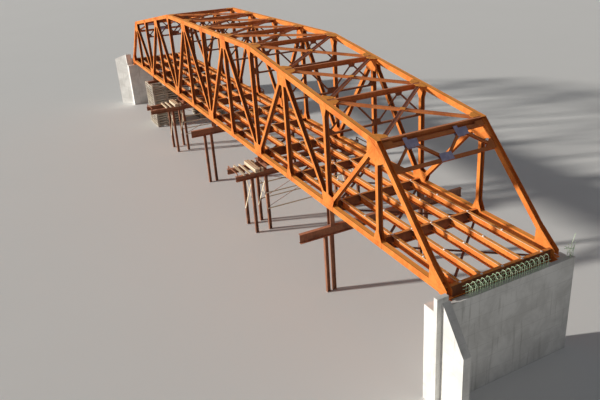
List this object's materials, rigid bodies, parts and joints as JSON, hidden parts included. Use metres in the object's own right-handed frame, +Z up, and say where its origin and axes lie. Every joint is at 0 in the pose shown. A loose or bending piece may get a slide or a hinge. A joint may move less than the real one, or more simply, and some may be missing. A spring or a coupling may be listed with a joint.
{
  "type": "truss bridge, scale model at 1:10",
  "caption": "Camelback through truss road bridge of riveted-style H members with gusset plates, portals, sway frames and open floor, on concrete abutments and temporary bents.",
  "frame": {"origin": "on the ground plane, under the middle of the bridge between its two trusses", "axes": "+X along the bridge towards the front portal, +Y across it to the left truss, +Z up"},
  "size_m": [9.736, 1.872, 1.948],
  "materials": {
    "weathering_steel": "rusted matt",
    "falsework_steel": "rusted matt",
    "new_plate": "mill scale, matt",
    "concrete": "cast concrete",
    "timber": "rough sawn"
  },
  "bodies": {
    "root": {"abutment_back_walls": "concrete", "abutment_wing_walls": "concrete", "back_abutment": "concrete", "bearings": "weathering_steel", "bent_caps": "falsework_steel", "bent_headers": "falsework_steel", "bent_piles": "falsework_steel", "bent_stools": "falsework_steel", "bottom_lateral_plates": "weathering_steel", "bottom_laterals": "weathering_steel", "crib_sleepers_across": "timber", "crib_sleepers_along": "timber", "floor_beams": "weathering_steel", "front_abutment": "concrete", "lateral_plates": "weathering_steel", "left_truss_bottom_chord": "weathering_steel", "left_truss_diagonals": "weathering_steel", "left_truss_end_posts": "weathering_steel", "left_truss_lower_gussets": "weathering_steel", "left_truss_top_chord": "weathering_steel", "left_truss_upper_gussets": "weathering_steel", "left_truss_verticals": "weathering_steel", "platform_planks": "timber", "platform_rails": "falsework_steel", "portal_braces": "weathering_steel", "portal_plates": "new_plate", "portal_struts": "weathering_steel", "right_truss_bottom_chord": "weathering_steel", "right_truss_diagonals": "weathering_steel", "right_truss_end_posts": "weathering_steel", "right_truss_lower_gussets": "weathering_steel", "right_truss_top_chord": "weathering_steel", "right_truss_upper_gussets": "weathering_steel", "right_truss_verticals": "weathering_steel", "stringers": "weathering_steel", "sway_braces": "weathering_steel", "sway_plates": "weathering_steel", "sway_struts": "weathering_steel", "top_laterals": "weathering_steel", "top_struts": "weathering_steel", "tower_braces": "timber", "tower_rods": "falsework_steel", "tower_ties": "timber"}
  },
  "joints": []
}
